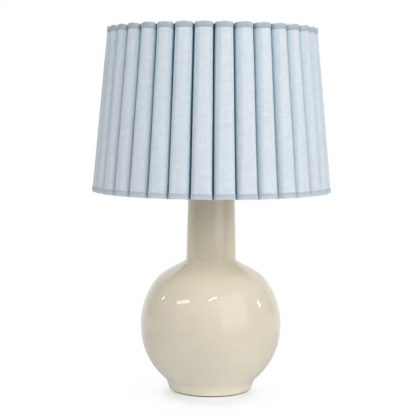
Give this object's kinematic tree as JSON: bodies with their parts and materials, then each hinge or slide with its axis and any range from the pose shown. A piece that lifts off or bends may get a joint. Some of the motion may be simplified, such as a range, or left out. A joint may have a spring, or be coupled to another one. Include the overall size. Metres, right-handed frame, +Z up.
{
  "type": "table lamp",
  "caption": "Table lamp with a round glazed ceramic body, tall neck and pleated linen shade on a ring-fitted screw lampholder with a turn switch.",
  "frame": {"origin": "on the table, under the lamp's axis", "axes": "+Z up along the lamp's axis, -Y the front, +X to the right seen from the front"},
  "size_m": [0.3556, 0.3544, 0.5385],
  "materials": {
    "glaze": "glossy speckled glaze",
    "felt": "pressed felt",
    "rubber": "matt",
    "steel": "zinc plated",
    "brass": "satin",
    "screw_steel": "nickel plated",
    "bakelite": "moulded",
    "porcelain": "glazed",
    "opal_glass": "frosted opal",
    "bulb_metal": "rolled thread",
    "bulb_black_glass": "gloss",
    "solder": "tinned",
    "frame_wire": "epoxy coated",
    "linen": "pale blue slub linen",
    "tape": "ribbed tape",
    "lining": "laminated white"
  },
  "bodies": {
    "base": {"ceramic_body": "glaze", "felt_pad": "felt", "cord_grommet": "rubber", "threaded_tube": "brass", "floor_gasket": "rubber", "clamp_washer": "steel", "lock_washer": "steel", "clamp_nut": "steel", "neck_gasket": "rubber", "neck_cap": "brass", "collar": "brass", "lampholder_cap": "bakelite", "lock_screw": "screw_steel", "lampholder_skirt": "bakelite", "switch_block": "bakelite", "terminal_block": "porcelain", "terminal_screws": "screw_steel", "centre_contact": "brass", "screw_shell": "brass"},
    "switch": {"switch_shaft": "brass", "switch_knob": "bakelite"},
    "bulb_foot": {"bulb_tip": "solder"},
    "bulb": {"bulb_glass": "opal_glass", "bulb_cap": "bulb_metal", "bulb_insulator": "bulb_black_glass"},
    "shade_nut": {"shade_ring": "bakelite"},
    "shade": {"fitter_ring": "frame_wire", "top_wire_ring": "frame_wire", "bottom_wire_ring": "frame_wire", "spider_arms": "frame_wire", "shade_cover": "linen", "top_binding": "tape", "bottom_binding": "tape", "shade_lining": "lining"}
  },
  "joints": [
    {"name": "knob_turn", "type": "hinge", "parent": "base", "child": "switch", "pos_m": [0.022, 0, 0.34575], "axis": [1, 0, 0], "continuous": true},
    {"name": "shade_swivel", "type": "hinge", "parent": "base", "child": "shade", "pos_m": [0, 0, 0.35516], "axis": [0, 0, 1], "continuous": true},
    {"name": "shade_ring_turn", "type": "hinge", "parent": "base", "child": "shade_nut", "pos_m": [0, 0, 0.361], "axis": [0, 0, 1], "continuous": true},
    {"name": "bulb_rise", "type": "slide", "parent": "base", "child": "bulb_foot", "axis": [0, 0, 1], "range_m": [0, 0.01089]},
    {"name": "bulb_turn", "type": "hinge", "parent": "bulb_foot", "child": "bulb", "pos_m": [0, 0, 0.38], "axis": [0, 0, 1], "range_deg": [0, 1080]}
  ],
  "couplings": [
    {"joint": "bulb_rise", "follows": "bulb_turn", "m_per_rad": 0.0005775}
  ]
}
